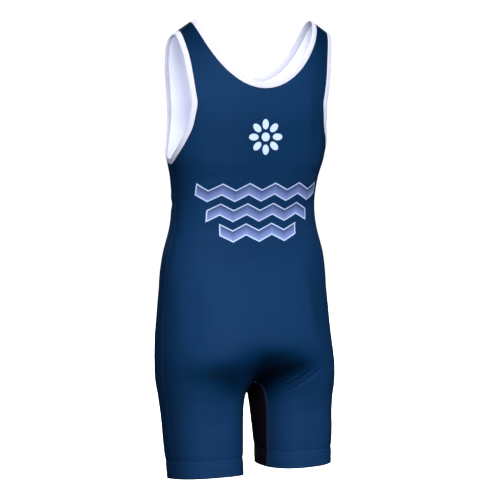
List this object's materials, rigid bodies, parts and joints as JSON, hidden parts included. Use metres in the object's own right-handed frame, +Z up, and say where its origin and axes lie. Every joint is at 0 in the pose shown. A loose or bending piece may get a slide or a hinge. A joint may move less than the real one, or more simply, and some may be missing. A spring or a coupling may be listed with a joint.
{
  "type": "wrestling singlet",
  "caption": "Youth wrestling singlet, hollow and filled out as worn: scooped neck and deep armholes with pale bindings, navy knit body, dark inner-leg gusset, short hemmed legs.",
  "frame": {"origin": "midway between the two shoulder seams, on the outer face of the cloth, where the wearer's shoulders hold the garment up", "axes": "+Z up, +X towards the wearer's left, +Y towards the back of the garment"},
  "size_m": [0.2497, 0.1869, 0.6463],
  "materials": {
    "navy_knit": "smooth stretch knit with a faint sheen",
    "black_knit": "smooth stretch knit, matte",
    "white_binding": "folded elastic binding, matte"
  },
  "bodies": {
    "root": {"back_panel": "navy_knit", "front_panel": "navy_knit", "inner_leg_gusset": "black_knit", "neck_binding": "white_binding", "armhole_binding_left": "white_binding", "armhole_binding_right": "white_binding"}
  },
  "joints": []
}
